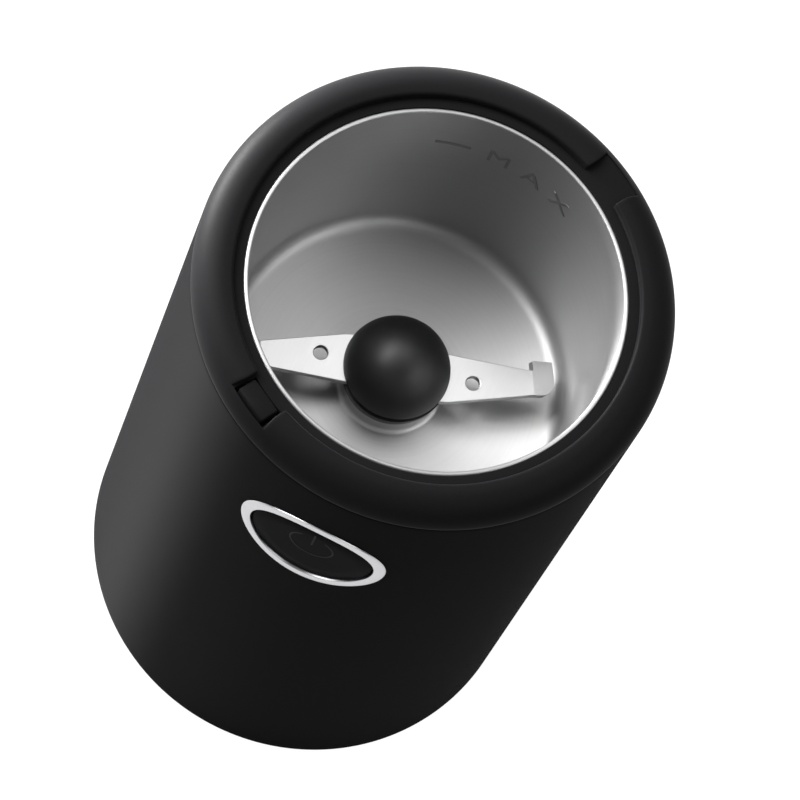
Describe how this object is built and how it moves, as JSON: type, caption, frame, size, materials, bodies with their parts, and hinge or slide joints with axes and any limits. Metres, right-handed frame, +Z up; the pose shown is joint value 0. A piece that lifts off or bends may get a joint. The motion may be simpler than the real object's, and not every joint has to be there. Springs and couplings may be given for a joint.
{
  "type": "electric coffee grinder",
  "caption": "Electric blade coffee grinder without its lid: a matt black round body, a steel grinding bowl, a spinning blade under a ball cap and an oval push button.",
  "frame": {"origin": "centre of the body on the floor, under the rubber feet", "axes": "+Z up along the shaft, -Y towards the push button, +X to the right of someone facing it"},
  "size_m": [0.0872, 0.0872, 0.1556],
  "materials": {
    "soft_black": "soft-touch matt black",
    "collar_black": "fine moulded matt black",
    "gloss_black": "polished black",
    "ball_black": "satin moulded black",
    "inner_plastic": "plain moulded",
    "switch_plastic": "plain moulded",
    "terminal_plastic": "plain moulded",
    "capacitor_plastic": "plain moulded",
    "plunger_plastic": "plain moulded",
    "bowl_steel": "drawn and satin brushed",
    "blade_steel": "ground and polished",
    "shaft_steel": "ground",
    "screw_steel": "zinc plated",
    "spring_steel": "drawn wire",
    "lamination": "stacked sheet",
    "bright_chrome": "plated",
    "copper_wire": "enamelled copper wire",
    "copper_bar": "turned copper",
    "brass": "pressed sheet",
    "bush_bronze": "sintered",
    "bracket_metal": "die cast",
    "carbon": "pressed carbon",
    "rubber": "moulded rubber"
  },
  "bodies": {
    "housing": {"outer_housing": "soft_black", "top_collar": "collar_black", "grinding_bowl": "bowl_steel", "bowl_gasket": "rubber", "shaft_seal": "rubber", "bowl_nuts": "screw_steel", "bowl_carrier": "inner_plastic", "collar_screws": "screw_steel", "motor_screws": "screw_steel", "motor_dampers": "rubber", "upper_bracket": "bracket_metal", "lower_bracket": "bracket_metal", "upper_bush": "bush_bronze", "lower_bush": "bush_bronze", "stator_core": "lamination", "field_coil_left": "copper_wire", "field_coil_right": "copper_wire", "thermal_cutout": "switch_plastic", "stator_screws": "screw_steel", "brush_holders": "brass", "brush_spring_left": "spring_steel", "brush_spring_right": "spring_steel", "base_cover": "inner_plastic", "base_screws": "screw_steel", "rubber_feet": "rubber", "cord_gland": "rubber", "terminal_block": "terminal_plastic", "suppression_capacitor": "capacitor_plastic", "button_bezel": "bright_chrome", "button_spring": "spring_steel", "start_switch": "switch_plastic", "interlock_spring": "spring_steel", "interlock_switch": "switch_plastic", "switch_screws": "screw_steel"},
    "rotor": {"motor_shaft": "shaft_steel", "armature_core": "lamination", "armature_winding": "copper_wire", "commutator": "copper_bar", "thrust_washers": "inner_plastic", "cooling_fan": "inner_plastic", "blade_hub": "ball_black", "blade_cap": "ball_black", "blade": "blade_steel"},
    "power_button": {"power_button": "gloss_black"},
    "start_switch_plunger": {"start_switch_plunger": "plunger_plastic"},
    "interlock_plunger": {"interlock_plunger": "collar_black"},
    "interlock_switch_plunger": {"interlock_switch_plunger": "plunger_plastic"},
    "brush_left": {"brush_left": "carbon"},
    "brush_right": {"brush_right": "carbon"}
  },
  "joints": [
    {"name": "rotor_spin", "type": "hinge", "parent": "housing", "child": "rotor", "pos_m": [0, 0, 0.06], "axis": [0, 0, 1], "continuous": true},
    {"name": "button_press", "type": "slide", "parent": "housing", "child": "power_button", "axis": [0, 1, 0], "range_m": [0, 0.0015], "stiffness_N_per_m": 400, "deforming": ["button_spring"]},
    {"name": "start_switch_press", "type": "slide", "parent": "housing", "child": "start_switch_plunger", "axis": [0, 1, 0], "range_m": [0, 0.0015]},
    {"name": "interlock_press", "type": "slide", "parent": "housing", "child": "interlock_plunger", "axis": [0, 0, -1], "range_m": [0, 0.002], "stiffness_N_per_m": 250, "deforming": ["interlock_spring"]},
    {"name": "interlock_switch_press", "type": "slide", "parent": "housing", "child": "interlock_switch_plunger", "axis": [0, 0, -1], "range_m": [0, 0.002]},
    {"name": "brush_left_slide", "type": "slide", "parent": "housing", "child": "brush_left", "axis": [-1, 0, 0], "range_m": [0, 0.002], "stiffness_N_per_m": 60, "deforming": ["brush_spring_left"]},
    {"name": "brush_right_slide", "type": "slide", "parent": "housing", "child": "brush_right", "axis": [1, 0, 0], "range_m": [0, 0.002], "stiffness_N_per_m": 60, "deforming": ["brush_spring_right"]}
  ],
  "couplings": [
    {"joint": "start_switch_press", "follows": "button_press", "ratio": 1},
    {"joint": "interlock_switch_press", "follows": "interlock_press", "ratio": 1}
  ]
}
